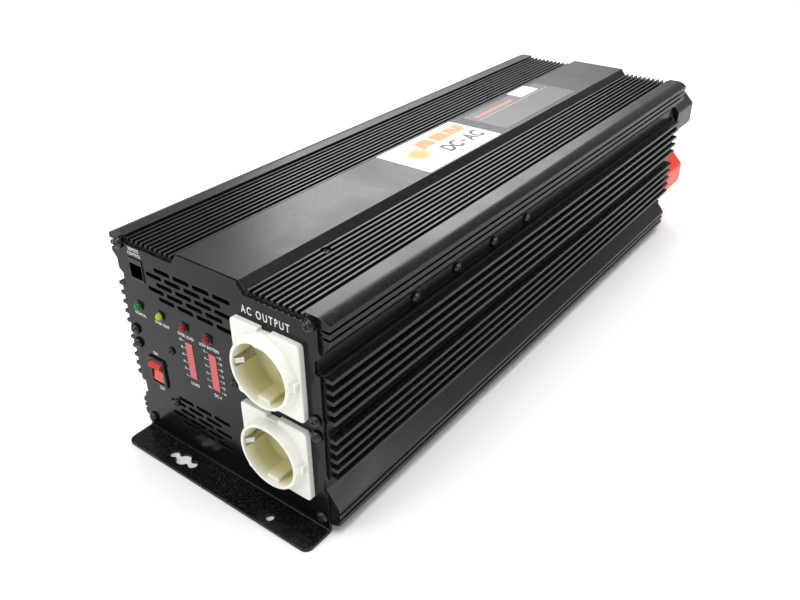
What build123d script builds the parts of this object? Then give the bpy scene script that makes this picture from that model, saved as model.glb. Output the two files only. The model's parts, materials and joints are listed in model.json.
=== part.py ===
from build123d import *
import os
from math import atan, cos, degrees, hypot, radians, sin

# Power inverter in a finned aluminium case. Millimetres; +X is to the right seen from the socket
# end, +Y runs back to the battery end and +Z is up. The origin lies at the middle of the case, on
# the plane that its two feet stand on.

os.makedirs("parts", exist_ok=True)

# ---- case: two mirrored extrusions that meet at the split line
case_width = 173.4          # over the tips of the side fins
case_height = 147.0         # over the centre plates
shell_length = 491.0
wall = 2.5
plate_half = 24.3           # flat centre plate, half width
plate_slope = 4.9
plate_rise = 6.3            # centre plate above the roots of the ribs
rib_count = 10
rib_width = 1.8
rib_rise = 2.7
strip_width = 15.6          # smooth strip along each long edge
strip_drop = 2.2            # strip below the centre plate
strip_round_width = 8.0
strip_round_drop = 3.4
lip_height = 2.8
groove = 2.0                # gaps between the lip and the two upper side fins
fin_count = 5
fin_depth = 5.5
fin_thickness = 2.6
first_fin = 6.4             # centre of the first fin from the split line
channel_depth = 9.3         # recessed floor of the side channel, from the fin tips
channel_height = 8.6
channel_drop = 37.2         # lower edge of the channel below the centre plate
slant_drop = 17.2           # upper end of the slanted wall below the centre plate

# ---- end panels with their feet
sheet = 2.0
foot_gap = 3.0              # air under the case
foot_depth = 20.0
bend_radius = 1.2
foot_corner = 5.0
panel_inset = 1.2           # panel edge inside the roots of the fins
panel_corner = 6.0
fixing_x = 44.6             # round fixing hole in each foot
fixing_hole = 5.2
fixing_setback = 13.4       # hole centres in front of the panel
keyhole_x = 35.4
keyhole_centre = 10.0
keyhole_lobe = 6.2
keyhole_spread = 8.6

# ---- screws
port_x_inset = 11.5         # screw port centres from the fin tips
port_split = 5.2            # screw port from the split line
port_top = 7.7              # screw port below the centre plate
port_wall = 1.9
screw = 3.8                 # M4 thread
clear = 0.2                 # radial clearance of a screw in its hole
head = 7.4
head_height = 2.6
small_screw = 2.8           # M3 thread
small_head = 5.2

# ---- sockets
socket_x = 45.0
socket_pitch = 57.0
socket_drop = 1.0           # middle of the pair below the split line
socket_plate = 50.0
socket_thickness = 4.0
socket_notch_width, socket_notch_depth = 8.4, 2.2
recess = 39.0
recess_depth = 17.5
ring_lip = 1.8              # ring round the recess: width of its front edge
ring_foot = 3.0             # and where it meets the plate
ring_rise = 6.2
tab_height, tab_rise = 5.0, 3.2
cup_wall = 2.9
floor_thickness = 3.0
contact_spacing = 19.0
pin_hole = 5.2
contact_block = 10.0
cutout_play = 0.6

# ---- front panel fittings
jack_x, jack_drop = -62.1, 21.8
jack_width, jack_height, jack_depth = 12.1, 14.6, 15.0
jack_port_width, jack_port_height = 4.9, 9.5
led_xs = (-67.0, -47.1, -26.0, -5.7)
led_names = ("green_led", "yellow_led", "red_led", "fault_led")
led_rise = 25.1             # lamps above the split line
led_radius = 2.4
bar_xs = (-24.2, -4.1)
bar_rise = 1.8
bar_width, bar_height = 6.0, 26.0
switch_x, switch_drop = -59.7, 21.3
bezel_width, bezel_height, bezel_lip = 15.0, 21.0, 1.6
sleeve_width, sleeve_height, sleeve_depth = 13.0, 19.2, 12.2
rocker_width, rocker_radius = 10.4, 8.2
rocker_pivot = 2.2          # pivot behind the front face of the panel
rocker_tilt = 12.0          # off position, from level
rocker_pin = 1.2
running = 0.05              # radial clearance of a running fit
vent_length, vent_height = 14.0, 3.1
vent_pitch_x, vent_pitch_z = 16.4, 4.9
vent_margin = 16.3          # first upper row below the centre plate
board_stand = 6.0           # display board behind the panel
pcb = 1.6

# ---- rear panel fittings
fan_x = -34.0
rear_pitch = 62.0           # the two fans and the two battery terminals, one above the other
fan_size, fan_depth, fan_bore = 60.0, 25.0, 56.0
fan_hole_pitch = 50.0
fan_hub, fan_tip_gap = 13.0, 0.8
blade_count = 7
wire = 2.0
terminal_x = 60.0
stud = 10.0                 # M10 battery stud
cap_radius, cap_length, cap_gap = 24.0, 42.0, 0.4
base_radius, base_thickness = 19.0, 6.0
ground_x, ground_z = 15.0, 24.0
ground_stud = 6.0
ground_hexagon = 5.6        # corner radius of its collar and nut
ground_collar = 5.0
ground_free = 13.0          # free thread behind the collar

# ---- inside
board_half_width = 73.2
board_end_gap = 30.5        # main board to the inside of each panel
board_lift = 6.0
transformer_count, transformer_pitch, transformer_x = 4, 54.0, -23.0
core_size, core_depth, core_leg, core_yoke = 56.0, 25.0, 20.0, 9.5
bar_thickness = 3.0         # copper bars
upper_row_first, upper_row_pitch = 86.4, 43.9
lower_row_first, lower_row_pitch = 129.2, 34.6
row_screws = 4
transistor = (4.6, 10.5, 16.0)
clamp_bar = (4.0, 10.0)

# ---- worked out from the sizes above
half = case_height / 2
split_z = foot_gap + half
top_z = foot_gap + case_height
tip_x = case_width / 2
root_x = tip_x - fin_depth
inner_x = root_x - wall
channel_x = tip_x - channel_depth
strip_x = tip_x - strip_width
root_z = half - plate_rise
strip_z = half - strip_drop
channel_low = half - channel_drop
channel_high = channel_low + channel_height
slant_z = half - slant_drop
fin_pitch = (channel_low - fin_thickness / 2 - panel_inset - first_fin) / (fin_count - 1)
port_x = tip_x - port_x_inset
panel_x = root_x - panel_inset
front_y = -(shell_length / 2 + sheet)
rear_y = -front_y
inside_front, inside_rear = front_y + sheet, rear_y - sheet
floor_z = split_z - root_z + wall
board_z = floor_z + board_lift
board_top = board_z + pcb
channel_mid = (channel_low + channel_high) / 2
socket_zs = [split_z - socket_drop + s * socket_pitch / 2 for s in (1, -1)]
rear_zs = [split_z + s * rear_pitch / 2 for s in (1, -1)]


def front_plane(y):
    """A plane facing the front at depth y; its own axes are +X and +Z."""
    return Plane.XZ.offset(-y)


def write(part, name):
    part.label = name
    export_step(part, "parts/" + name + ".step")


# ================================================================ case

def shell_profile():
    """Cross-section of the upper extrusion, with the split line at its zero height."""
    slope_x = plate_half + plate_slope
    rib_pitch = (strip_x - slope_x) / rib_count
    start = [(0, half), (plate_half, half), (slope_x, root_z)]
    for i in range(rib_count):
        x = slope_x + rib_pitch * (i + 0.5)
        start += [(x - rib_width / 2, root_z), (x - rib_width * 0.35, root_z + rib_rise)]
        start += [(x + rib_width * 0.35, root_z + rib_rise), (x + rib_width / 2, root_z)]
    start += [(strip_x, root_z), (strip_x, strip_z), (tip_x - strip_round_width, strip_z)]
    z = strip_z - strip_round_drop
    side = [(tip_x, z)]
    gap_top = z - lip_height
    fin_a = (gap_top - slant_z - 2 * groove) / 2
    for low in (gap_top, gap_top - groove - fin_a):
        side += [(tip_x, low), (root_x, low), (root_x, low - groove), (tip_x, low - groove)]
    side += [(tip_x, slant_z), (channel_x, channel_high), (channel_x, channel_low)]
    side += [(root_x, channel_low)]
    for i in reversed(range(fin_count)):
        z = first_fin + i * fin_pitch
        side += [(root_x, z + fin_thickness / 2), (tip_x, z + fin_thickness * 0.4)]
        side += [(tip_x, z - fin_thickness * 0.4), (root_x, z - fin_thickness / 2)]
    rise = (slant_z - channel_high) / (tip_x - channel_x)
    slant_shift = wall * hypot(1, rise)
    step_x = channel_x - wall
    side += [(root_x, 0), (inner_x, 0), (inner_x, channel_low - wall), (step_x, channel_low - wall)]
    side += [(step_x, channel_high + slant_shift - wall * rise)]
    side += [(inner_x, channel_high + slant_shift + (inner_x - channel_x) * rise)]
    side += [(inner_x, root_z - wall), (slope_x - wall / 2, root_z - wall)]
    side += [(plate_half - wall / 2, half - wall), (0, half - wall)]
    with BuildSketch() as section:
        with BuildLine():
            edge = Polyline(*start)
            TangentArc(edge @ 1, side[0], tangent=(1, 0))
            Polyline(*side)
            Line(side[-1], start[0])
        make_face()
        ports = [(port_x, port_split), (port_x, half - port_top)]
        with Locations(*ports):
            Circle(screw / 2 + clear + port_wall)
        with Locations(*ports):
            Circle(screw / 2 + clear, mode=Mode.SUBTRACT)
        with Locations((port_x - screw, port_split)):
            Rectangle(2 * screw, 1.6, mode=Mode.SUBTRACT)
        with Locations((port_x, half - port_top - screw)):
            Rectangle(1.6, 2 * screw, mode=Mode.SUBTRACT)
        mirror(about=Plane.YZ)
    return section.sketch


def row_places(first, pitch):
    return [front_y + first + i * pitch for i in range(row_screws)]


upper_row = row_places(upper_row_first, upper_row_pitch)
lower_row = row_places(lower_row_first, lower_row_pitch)
rib_screw_x, rib_screw_y = 34.2, front_y + 59.8
shell_end = (0, shell_length / 2, split_z)
upright_plane = Plane(shell_end, x_dir=(1, 0, 0), z_dir=(0, -1, 0))
turned_plane = Plane(shell_end, x_dir=(-1, 0, 0), z_dir=(0, -1, 0))

with BuildPart() as top_shell:
    extrude(upright_plane * shell_profile(), amount=shell_length)
    with BuildSketch(Plane.YZ) as row_holes:
        with Locations(*[(y, split_z + channel_mid) for y in upper_row]):
            Circle(screw / 2 + clear)
    extrude(amount=tip_x, both=True, mode=Mode.SUBTRACT)
    with BuildSketch(Plane.XY.offset(split_z + root_z)):
        with Locations((rib_screw_x, rib_screw_y)):
            Circle(small_head / 2 + 0.6)
    extrude(amount=plate_rise, mode=Mode.SUBTRACT)
    with BuildSketch(Plane.XY.offset(split_z + root_z)):
        with Locations((rib_screw_x, rib_screw_y)):
            Circle(small_screw / 2 + clear)
    extrude(amount=-2 * wall, mode=Mode.SUBTRACT)
write(top_shell.part, "top_shell")

with BuildPart() as bottom_shell:
    extrude(turned_plane * shell_profile(), amount=shell_length)
    with BuildSketch(Plane.YZ):
        with Locations(*[(y, split_z - channel_mid) for y in lower_row]):
            Circle(screw / 2 + clear)
    extrude(amount=tip_x, both=True, mode=Mode.SUBTRACT)
write(bottom_shell.part, "bottom_shell")


def panel_outline():
    """Front outline of an end panel, drawn above the feet plane."""
    rim = 0.6
    low_z = split_z + root_z - rim
    slope_x = plate_half + plate_slope
    strip_top = split_z + strip_z - 3 * rim
    notch_x = channel_x - rim
    right = [(0, top_z - rim), (plate_half - rim, top_z - rim), (slope_x - rim, low_z)]
    right += [(strip_x + rim, low_z), (strip_x + rim + 1, strip_top)]
    corner = [(panel_x, strip_top - panel_corner), (panel_x, split_z + channel_high + 4 * rim)]
    corner += [(notch_x, split_z + channel_high), (notch_x, split_z + channel_low)]
    corner += [(panel_x, split_z + channel_low), (panel_x, split_z - channel_low)]
    corner += [(notch_x, split_z - channel_low), (notch_x, split_z - channel_high)]
    corner += [(panel_x, split_z - channel_high - 4 * rim), (panel_x, 0), (0, 0)]
    with BuildSketch() as outline:
        with BuildLine():
            edge = Polyline(*right, (panel_x - panel_corner, strip_top))
            TangentArc(edge @ 1, corner[0], tangent=(1, 0))
            Polyline(*corner)
            Line(corner[-1], right[0])
        make_face()
        mirror(about=Plane.YZ)
    return outline.sketch


def foot_holes():
    """Round hole and four-lobed keyhole of a foot, measured from the face of its panel."""
    with BuildSketch() as holes:
        with Locations((fixing_x, -fixing_setback)):
            Circle(fixing_hole / 2)
        middle = -fixing_setback + 2.8
        with Locations((-keyhole_x, middle)):
            Circle(keyhole_centre / 2)
        with Locations((-keyhole_x - keyhole_spread, middle), (-keyhole_x + keyhole_spread, middle)):
            Circle(keyhole_lobe / 2)
        with Locations((-keyhole_x, middle)):
            Rectangle(2 * keyhole_spread, keyhole_lobe * 0.62)
    return holes.sketch


def edge_at(edge, y, z):
    middle = edge.center()
    return abs(middle.Y - y) < 0.01 and abs(middle.Z - z) < 0.01


def panel_blank(side):
    """Panel with its bent foot; side is -1 at the front and 1 at the rear."""
    with BuildPart() as blank:
        with BuildSketch(Plane.YZ.offset(-panel_x)):
            with BuildLine():
                Polyline((sheet, top_z), (sheet, 0), (-foot_depth, 0), (-foot_depth, sheet),
                         (0, sheet), (0, top_z), (sheet, top_z))
            make_face()
        extrude(amount=2 * panel_x)
        fillet([e for e in blank.edges() if edge_at(e, sheet, 0)], bend_radius + sheet)
        fillet([e for e in blank.edges() if edge_at(e, 0, sheet)], bend_radius)
        fillet([e for e in blank.edges() if edge_at(e, -foot_depth, sheet / 2)], foot_corner)
        extrude(Plane.XZ * panel_outline(), amount=2 * foot_depth, both=True, mode=Mode.INTERSECT)
        extrude(foot_holes(), amount=2 * sheet, both=True, mode=Mode.SUBTRACT)
    return Pos(0, side * rear_y, 0) * Rot(0, 0, 0 if side < 0 else 180) * blank.part


panel_holes = [(s * port_x, split_z + t * z) for s in (1, -1) for t in (1, -1)
               for z in (port_split, half - port_top)]
led_z = split_z + led_rise
jack_z = top_z - jack_drop
switch_z = split_z - switch_drop
bar_z = split_z + bar_rise
display_screws = [(-42.1, bar_z), (12.9, bar_z), (-46.5, switch_z - 18.7)]


def vent_places(first_z, last_z, first_x, columns):
    """Staggered rows of slots from first_z down to last_z."""
    rows = int((first_z - last_z) / vent_pitch_z + 0.01) + 1
    return [(first_x + i * vent_pitch_x - (row % 2) * vent_pitch_x / 2, first_z - row * vent_pitch_z)
            for row in range(rows) for i in range(columns)]


upper_vents = vent_places(top_z - vent_margin, led_z + 12.4, -38.6, 4)
lower_vents = vent_places(split_z - 34.8, foot_gap + 18.9, -36.8, 3)

with BuildPart() as front_panel:
    add(panel_blank(-1))
    with BuildSketch(front_plane(front_y)):
        with Locations(*panel_holes):
            Circle(screw / 2 + clear)
        with Locations(*[(x, z) for x, z in display_screws]):
            Circle(small_screw / 2 + clear)
        with Locations(*[(x, led_z) for x in led_xs]):
            Circle(led_radius + 0.6)
        with Locations(*[(x, bar_z) for x in bar_xs]):
            Rectangle(bar_width + clear, bar_height + clear)
        with Locations((jack_x, jack_z)):
            Rectangle(jack_width + 2 * clear, jack_height + 2 * clear)
        with Locations((switch_x, switch_z)):
            Rectangle(sleeve_width + 2 * clear, sleeve_height + 2 * clear)
        with Locations(*[(socket_x, z) for z in socket_zs]):
            Circle(recess / 2 + cup_wall + cutout_play)
        with Locations(*upper_vents, *lower_vents):
            SlotOverall(vent_length, vent_height)
    extrude(amount=-2 * sheet, mode=Mode.SUBTRACT)
write(front_panel.part, "front_panel")

fan_holes = [(fan_x + s * fan_hole_pitch / 2, z + t * fan_hole_pitch / 2)
             for z in rear_zs for s in (1, -1) for t in (1, -1)]
boss_radius = stud / 2 + 4

with BuildPart() as rear_panel:
    add(panel_blank(1))
    with BuildSketch(front_plane(inside_rear)):
        with Locations(*panel_holes, *fan_holes):
            Circle(screw / 2 + clear)
        with Locations(*[(fan_x, z) for z in rear_zs]):
            Circle(fan_bore / 2 - 1)
        with Locations(*[(terminal_x, z) for z in rear_zs]):
            Circle(boss_radius + clear)
        with Locations((ground_x, ground_z)):
            Circle(ground_stud / 2 + clear)
    extrude(amount=-2 * sheet, mode=Mode.SUBTRACT)
write(rear_panel.part, "rear_panel")


def pan_screw(length, thread, head_width, height):
    """Pan-head screw along +Z, with its head above zero."""
    with BuildPart() as item:
        with BuildSketch(Plane.XZ):
            with BuildLine():
                Polyline((0, height * 0.55), (0, -length), (thread / 2 - 0.4, -length),
                         (thread / 2, -length + 0.6), (thread / 2, 0), (head_width / 2, 0),
                         (head_width / 2, height * 0.35))
                ThreePointArc((head_width / 2, height * 0.35), (head_width * 0.36, height * 0.85),
                              (head_width * 0.22, height))
                Polyline((head_width * 0.22, height), (head_width * 0.12, height * 0.55),
                         (0, height * 0.55))
            make_face()
        revolve(axis=Axis.Z)
    return item.part


def place(item, spots, plane):
    """Copies of one item at points of a plane, with its +Z along the plane's normal."""
    return Compound([plane * Pos(x, y, z) * item for x, y, z in spots])


case_screw = pan_screw(10, screw, head, head_height)
rear_plane = Plane((0, rear_y, 0), x_dir=(-1, 0, 0), z_dir=(0, 1, 0))
front_set = place(case_screw, [(x, z, 0) for x, z in panel_holes], front_plane(front_y))
rear_set = place(case_screw, [(-x, z, 0) for x, z in panel_holes], rear_plane)
panel_screws = Compound(front_set.solids() + rear_set.solids())
write(panel_screws, "panel_screws")

bar_x = channel_x - wall - transistor[0] - clamp_bar[0]
row_screw = pan_screw(channel_x - bar_x + 1, screw, head, head_height - 0.3)
row_spots = [(y, split_z + channel_mid) for y in upper_row]
row_spots += [(y, split_z - channel_mid) for y in lower_row]
right_plane = Plane((channel_x, 0, 0), x_dir=(0, 1, 0), z_dir=(1, 0, 0))
left_plane = Plane((-channel_x, 0, 0), x_dir=(0, -1, 0), z_dir=(-1, 0, 0))
right_rows = place(row_screw, [(y, z, 0) for y, z in row_spots], right_plane)
left_rows = place(row_screw, [(-y, z, 0) for y, z in row_spots], left_plane)
side_clamp_screws = Compound(right_rows.solids() + left_rows.solids())
write(side_clamp_screws, "side_clamp_screws")

nut_height = 2.4
bracket_screw = pan_screw(wall + nut_height + 1, small_screw, small_head, 2.0)
rib_plane = Plane.XY.offset(split_z + root_z)
bracket_nut = extrude(RegularPolygon(3.1, 6) - Circle(small_screw / 2 + 0.05), amount=nut_height)
bracket_nut = Pos(rib_screw_x, rib_screw_y, split_z + root_z - wall - nut_height) * bracket_nut
rib_screw = Compound([rib_plane * Pos(rib_screw_x, rib_screw_y, 0) * bracket_screw, bracket_nut])
write(rib_screw, "rib_screw")

# ================================================================ sockets

cup_radius = recess / 2 + cup_wall
plate_y = front_y - socket_thickness
mouth_y = plate_y - ring_rise
floor_y = mouth_y + recess_depth
block_y = floor_y + floor_thickness
contact_y = block_y + contact_block
ring_taper = degrees(atan((ring_foot - ring_lip) / ring_rise))
clip_width, clip_notch = 3.4, 7.4
clip_front = 2.5            # clip end behind the mouth
clip_crest = 6.5            # innermost point of the clip behind the mouth
clip_reach = 2.6            # and how far it stands into the recess
notch_front = 1.5
notch_wall = 1.0
guide_width, guide_rise = 9.0, 3.5
guide_front = 2.4
pin_lip = 0.8


def socket_housing(z):
    with BuildPart() as housing:
        with BuildSketch(front_plane(front_y)):
            with Locations((socket_x, z)):
                RectangleRounded(socket_plate, socket_plate, 2.5)
            with Locations((socket_x, z + socket_plate / 2), (socket_x, z - socket_plate / 2)):
                Rectangle(socket_notch_width, 2 * socket_notch_depth, mode=Mode.SUBTRACT)
        extrude(amount=socket_thickness)
        chamfer(housing.faces().sort_by(Axis.Y)[0].edges(), 0.6)
        with BuildSketch(front_plane(plate_y)):
            with Locations((socket_x, z)):
                Rectangle(socket_plate - 2, tab_height)
        extrude(amount=tab_rise)
        with BuildSketch(front_plane(plate_y)):
            with Locations((socket_x, z)):
                Circle(recess / 2 + ring_foot)
        extrude(amount=ring_rise, taper=ring_taper)
        with BuildSketch(front_plane(front_y)):
            with Locations((socket_x, z)):
                Circle(cup_radius)
        extrude(amount=front_y - block_y)
        with BuildSketch(front_plane(block_y)):
            with Locations((socket_x, z)):
                RectangleRounded(14, contact_spacing + 12, 2)
        extrude(amount=-contact_block)
        with BuildSketch(front_plane(floor_y)):
            with Locations((socket_x, z)):
                Circle(recess / 2)
        extrude(amount=recess_depth, mode=Mode.SUBTRACT)
        with BuildSketch(front_plane(floor_y)):
            with Locations((socket_x - recess / 2, z), (socket_x + recess / 2, z)):
                Rectangle(2 * (cup_wall - notch_wall), clip_notch)
        extrude(amount=recess_depth - notch_front, mode=Mode.SUBTRACT)
        with BuildSketch(front_plane(floor_y)):
            with Locations((socket_x, z + recess / 2), (socket_x, z - recess / 2)):
                Rectangle(guide_width, 2 * guide_rise)
            with Locations((socket_x, z)):
                Circle(recess / 2, mode=Mode.INTERSECT)
        extrude(amount=recess_depth - guide_front)
        pins = [(socket_x, z + s * contact_spacing / 2) for s in (1, -1)]
        with BuildSketch(front_plane(floor_y)):
            with Locations(*pins):
                Circle(pin_hole / 2)
        extrude(amount=floor_y - contact_y, mode=Mode.SUBTRACT)
        with BuildSketch(front_plane(block_y)):
            with Locations(*pins):
                Circle(pin_hole / 2 + pin_lip)
        extrude(amount=block_y - contact_y, mode=Mode.SUBTRACT)
    return housing.part


for name, z in zip(("upper_socket", "lower_socket"), socket_zs):
    write(socket_housing(z), name)

pin_spots = [(socket_x, z + s * contact_spacing / 2) for z in socket_zs for s in (1, -1)]
with BuildPart() as socket_contacts:
    with BuildSketch(front_plane(block_y)):
        with Locations(*pin_spots):
            Circle(pin_hole / 2 + pin_lip - running)
            Circle(pin_hole / 2, mode=Mode.SUBTRACT)
    extrude(amount=block_y - contact_y)
write(socket_contacts.part, "socket_contacts")

notch_r = recess / 2 + cup_wall - notch_wall
crest_r = recess / 2 - clip_reach
clip_strip = 0.8
clip_ys = (floor_y, floor_y - 3, mouth_y + clip_crest, mouth_y + clip_front)
clip_rs = (notch_r - 0.2, notch_r - 0.2, crest_r + clip_strip, notch_r - 0.4)
with BuildPart() as earth_clips:
    for z in socket_zs:
        for s in (1, -1):
            outer = [(socket_x + s * r, y) for r, y in zip(clip_rs, clip_ys)]
            inner = [(socket_x + s * (r - clip_strip), y) for r, y in zip(clip_rs, clip_ys)]
            with BuildSketch(Plane.XY.offset(z - clip_width / 2)):
                with BuildLine():
                    Polyline(*inner, *reversed(outer), close=True)
                make_face()
            extrude(amount=clip_width)
write(earth_clips.part, "earth_clips")

with BuildPart() as socket_retainers:
    with BuildSketch(front_plane(inside_front)):
        with Locations(*[(socket_x, z) for z in socket_zs]):
            RectangleRounded(socket_plate, socket_plate, 3)
            Circle(cup_radius + 0.1, mode=Mode.SUBTRACT)
    extrude(amount=-2.5)
write(socket_retainers.part, "socket_retainers")

# ================================================================ front panel fittings

port_shift = (jack_port_width + 0.8) / 2
with BuildPart() as remote_jack:
    with BuildSketch(front_plane(front_y - 0.6)):
        with Locations((jack_x, jack_z)):
            Rectangle(jack_width, jack_height)
            with Locations((-port_shift, -1), (port_shift, -1)):
                Rectangle(jack_port_width, jack_port_height, mode=Mode.SUBTRACT)
    extrude(amount=-jack_depth)
    with BuildSketch(front_plane(front_y - 0.6 + jack_depth - 1.5)):
        with Locations((jack_x, jack_z)):
            Rectangle(jack_width, jack_height)
    extrude(amount=-1.5)
write(remote_jack.part, "remote_jack")

jack_roof = jack_z - 1 + jack_port_height / 2
with BuildPart() as jack_contacts:
    for s in (-1, 1):
        for i in (-1, 0, 1):
            with BuildSketch(Plane.YZ.offset(jack_x + s * port_shift + i * 1.3 - 0.25)):
                with BuildLine():
                    Polyline((front_y + 2, jack_roof - 0.1), (front_y + 2.6, jack_roof - 0.1),
                             (front_y + 9, jack_roof - 2.6), (front_y + 9, jack_roof - 3.1),
                             (front_y + 2, jack_roof - 0.6), close=True)
                make_face()
            extrude(amount=0.5)
write(jack_contacts.part, "jack_contacts")

display_y = front_y + board_stand
for name, x in zip(led_names, led_xs):
    dome_y = front_y - 0.9
    with BuildPart() as lamp:
        with BuildSketch(front_plane(dome_y)):
            with Locations((x, led_z)):
                Circle(led_radius)
        extrude(amount=dome_y - display_y)
        with BuildSketch(front_plane(display_y)):
            with Locations((x, led_z)):
                Circle(led_radius + 0.4)
        extrude(amount=1)
        with Locations((x, dome_y, led_z)):
            Sphere(led_radius)
    write(lamp.part, name)

with BuildPart() as led_holders:
    spots = [(x, led_z) for x in led_xs]
    with BuildSketch(front_plane(front_y)):
        with Locations(*spots):
            Circle(led_radius + 1.2)
            Circle(led_radius + 0.05, mode=Mode.SUBTRACT)
    extrude(amount=0.7)
    with BuildSketch(front_plane(front_y)):
        with Locations(*spots):
            Circle(led_radius + 0.5)
            Circle(led_radius + 0.05, mode=Mode.SUBTRACT)
    extrude(amount=-sheet - 1)
write(led_holders.part, "led_holders")

with BuildPart() as bar_windows:
    with BuildSketch(front_plane(front_y - 0.3)):
        with Locations(*[(x, bar_z) for x in bar_xs]):
            Rectangle(bar_width, bar_height)
    extrude(amount=-sheet - 0.3)
write(bar_windows.part, "bar_windows")

with BuildPart() as bar_displays:
    with BuildSketch(front_plane(inside_front)):
        with Locations(*[(x, bar_z) for x in bar_xs]):
            Rectangle(bar_width + 2, bar_height)
    extrude(amount=sheet - board_stand)
write(bar_displays.part, "bar_displays")

with BuildPart() as display_board:
    with BuildSketch(front_plane(display_y)):
        low, high = bar_z - bar_height / 2 + 0.3, led_z + 6
        left, right = led_xs[0] - led_radius - 1, display_screws[1][0] - 4
        with Locations(((left + right) / 2, (low + high) / 2)):
            Rectangle(right - left, high - low)
        arm_low = display_screws[2][1] - 4
        with Locations((display_screws[2][0], (low + arm_low) / 2)):
            Rectangle(8, low - arm_low)
        with Locations((display_screws[1][0], bar_z)):
            Rectangle(10, 12)
        with Locations(*display_screws):
            Circle(small_screw / 2 + clear, mode=Mode.SUBTRACT)
    extrude(amount=-pcb)
write(display_board.part, "display_board")

with BuildPart() as display_spacers:
    with BuildSketch(front_plane(inside_front)):
        with Locations(*display_screws):
            Circle(small_head / 2)
            Circle(small_screw / 2 + clear, mode=Mode.SUBTRACT)
    extrude(amount=sheet - board_stand)
write(display_spacers.part, "display_spacers")

board_bolt = pan_screw(board_stand + pcb + 2.6, small_screw, small_head, 2.0)
board_bolts = place(board_bolt, [(x, z, 0) for x, z in display_screws], front_plane(front_y))
spacer_nut = extrude(RegularPolygon(3.0, 6) - Circle(small_screw / 2 + 0.05), amount=nut_height)
spacer_nuts = place(spacer_nut, [(x, z, 0) for x, z in display_screws],
                    front_plane(display_y + pcb + nut_height))
display_screw_set = Compound(board_bolts.solids() + spacer_nuts.solids())
write(display_screw_set, "display_screws")

# ---- rocker switch
with BuildPart() as switch_body:
    with BuildSketch(front_plane(front_y)):
        with Locations((switch_x, switch_z)):
            RectangleRounded(bezel_width, bezel_height, 1.2)
    extrude(amount=bezel_lip)
    chamfer(switch_body.faces().sort_by(Axis.Y)[0].edges(), 0.5)
    with BuildSketch(front_plane(front_y)):
        with Locations((switch_x, switch_z)):
            Rectangle(sleeve_width, sleeve_height)
    extrude(amount=-sleeve_depth)
    with BuildSketch(front_plane(front_y - bezel_lip)):
        with Locations((switch_x, switch_z)):
            Rectangle(rocker_width + 2 * clear, 2 * (rocker_radius + 0.3))
    extrude(amount=-sleeve_depth - bezel_lip + 1, mode=Mode.SUBTRACT)
    with BuildSketch(Plane.YZ.offset(switch_x)):
        with Locations((front_y + rocker_pivot, switch_z)):
            Circle(rocker_pin + running)
    extrude(amount=sleeve_width / 2 - 0.2, both=True, mode=Mode.SUBTRACT)
write(switch_body.part, "switch_body")

pivot = (switch_x, front_y + rocker_pivot, switch_z)
tilt = radians(rocker_tilt)
rocker_plane = Plane(pivot, x_dir=(0, cos(tilt), sin(tilt)), z_dir=(1, 0, 0))
with BuildPart() as switch_rocker:
    with BuildSketch(rocker_plane):
        with BuildLine():
            Polyline((-2.6, 0), (-4.9, 6.5), (-4.3, 6.9), (-1, 8.0), (3.4, 4.5), (3.4, -4.5),
                     (-1, -8.0), (-4.3, -6.9), (-4.9, -6.5), close=True)
        make_face()
    extrude(amount=rocker_width / 2, both=True)
    with BuildSketch(rocker_plane):
        Circle(rocker_pin)
    extrude(amount=rocker_width / 2 + 0.8, both=True)
write(switch_rocker.part, "switch_rocker")

tab_y = front_y + sleeve_depth
tab_zs = [switch_z + s * 5 for s in (1, -1)]
with BuildPart() as switch_tabs:
    with Locations(*[(switch_x, tab_y + 4, z) for z in tab_zs]):
        Box(6.3, 8, 0.8)
write(switch_tabs.part, "switch_tabs")

# ================================================================ rear fittings

hub_y = inside_rear - fan_depth
for name, z in zip(("upper", "lower"), rear_zs):
    with BuildPart() as fan_frame:
        with BuildSketch(front_plane(inside_rear)):
            with Locations((fan_x, z)):
                RectangleRounded(fan_size, fan_size, 4)
                Circle(fan_bore / 2, mode=Mode.SUBTRACT)
                with GridLocations(fan_hole_pitch, fan_hole_pitch, 2, 2):
                    Circle(screw / 2 + clear, mode=Mode.SUBTRACT)
        extrude(amount=fan_depth)
        with BuildSketch(front_plane(hub_y)):
            with Locations((fan_x, z)):
                Circle(fan_hub)
                with PolarLocations(0, 3, start_angle=30):
                    with Locations((fan_bore / 4 + 2, 0)):
                        Rectangle(fan_bore / 2 - 3, 4)
        extrude(amount=-3)
        with BuildSketch(front_plane(hub_y)):
            with Locations((fan_x, z)):
                Circle(1.5 + running)
        extrude(amount=-fan_depth, mode=Mode.SUBTRACT)
    write(fan_frame.part, name + "_fan_frame")

    with BuildPart() as fan_rotor:
        with Locations(Location((fan_x, hub_y + 13.5, z), (90, 0, 0))):
            with PolarLocations(0, blade_count):
                with Locations(Location(((fan_bore / 2 + fan_hub) / 2 - 0.5, 0, 0), (35, 0, 0))):
                    Box(fan_bore / 2 - fan_hub + 3, 1.5, 20)
            Cylinder(fan_bore / 2 - fan_tip_gap, 17.5, mode=Mode.INTERSECT)
            Cylinder(fan_hub, 17.5)
        with Locations(Location((fan_x, hub_y + 5, z), (90, 0, 0))):
            Cylinder(1.5, 9)
    write(fan_rotor.part, name + "_fan_rotor")

guard_rings = [fan_bore / 2 - wire - i * 6.4 for i in range(4)]
eyelet = screw / 2 + 2.2


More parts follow.
